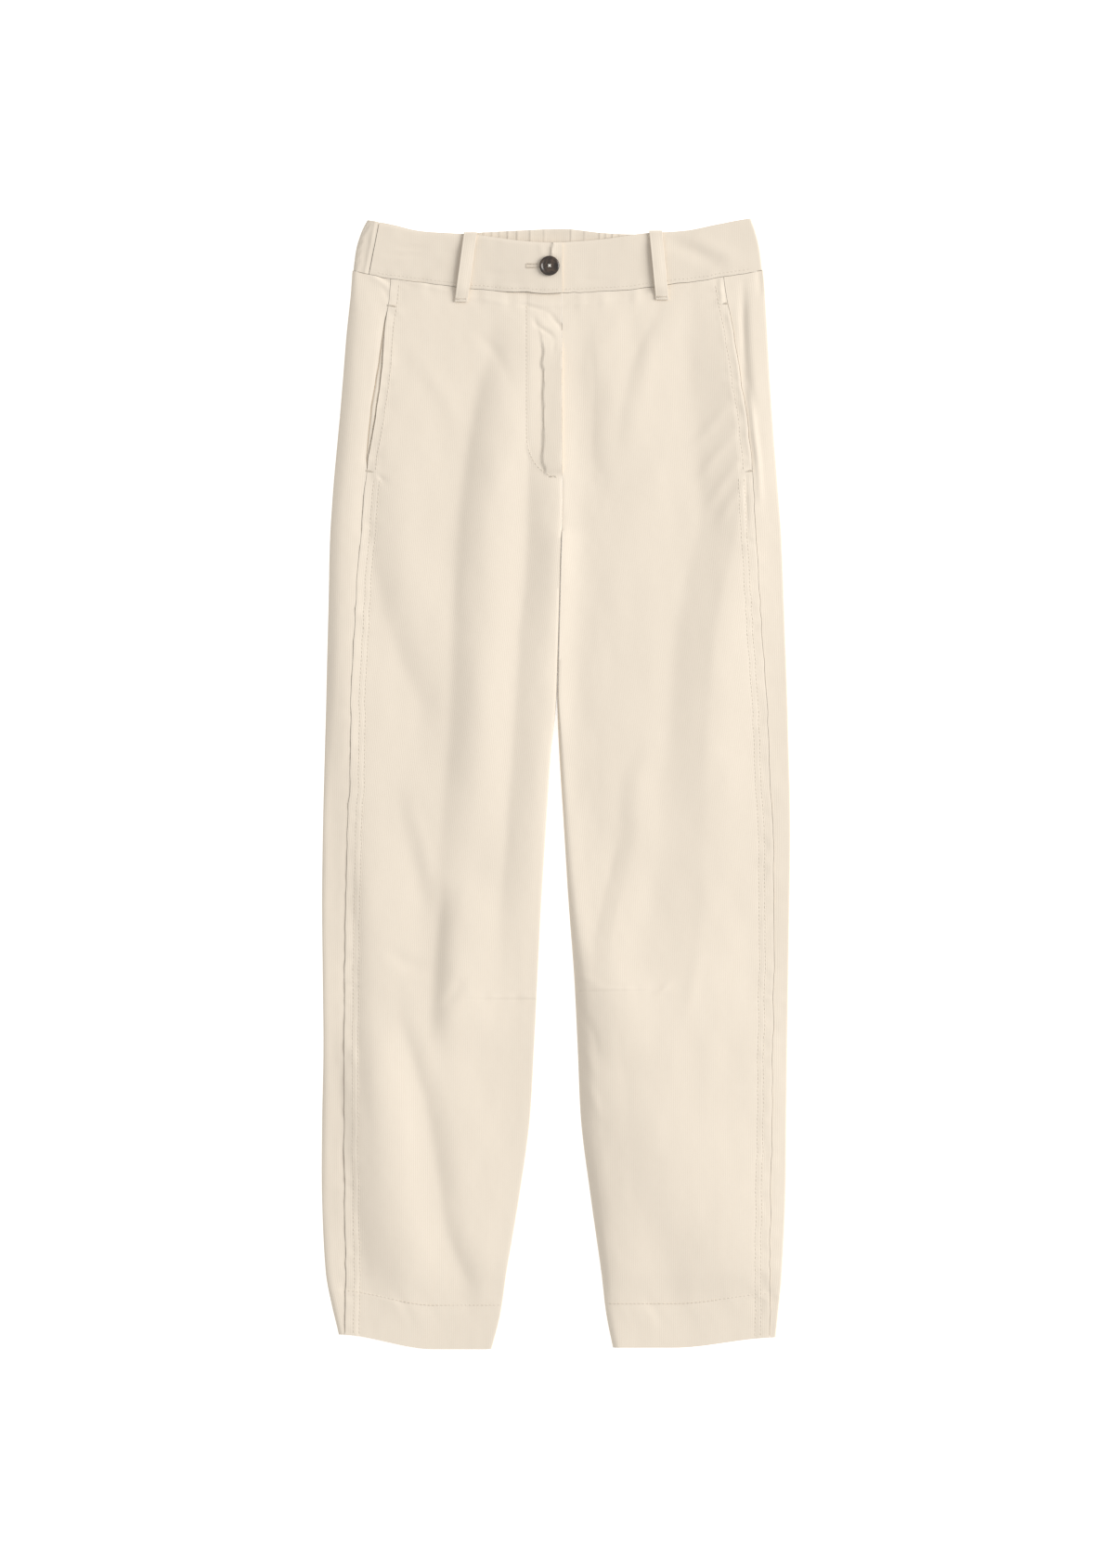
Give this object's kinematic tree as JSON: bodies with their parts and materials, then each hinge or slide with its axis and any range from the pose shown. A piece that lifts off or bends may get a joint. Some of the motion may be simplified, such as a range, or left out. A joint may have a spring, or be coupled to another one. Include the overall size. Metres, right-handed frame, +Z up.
{
  "type": "corduroy trousers laid flat",
  "caption": "High-waisted barrel-leg corduroy trousers laid flat, buttoned, with forward side seams, slant pockets, J-stitched fly, belt loops and gathered back waistband.",
  "frame": {"origin": "middle of the laid garment's box, on the surface it lies on", "axes": "+X to the right of somebody looking down at the front, +Y from the hems to the waist, +Z up from the surface"},
  "size_m": [0.4142, 0.9984, 0.0117],
  "materials": {
    "corduroy": "fine-wale cotton corduroy, cream, soft nap",
    "corduroy_band": "the same corduroy, doubled and topstitched",
    "button": "dark brown horn-look resin with pale thread"
  },
  "bodies": {
    "root": {"front_panel_left": "corduroy", "front_panel_right": "corduroy", "back_panel_left": "corduroy", "back_panel_right": "corduroy", "pocket_facing_left": "corduroy", "pocket_facing_right": "corduroy", "waistband_front_left": "corduroy_band", "waistband_front_right": "corduroy_band", "waistband_back": "corduroy_band", "belt_loop_left": "corduroy_band", "belt_loop_right": "corduroy_band", "button": "button"}
  },
  "joints": []
}
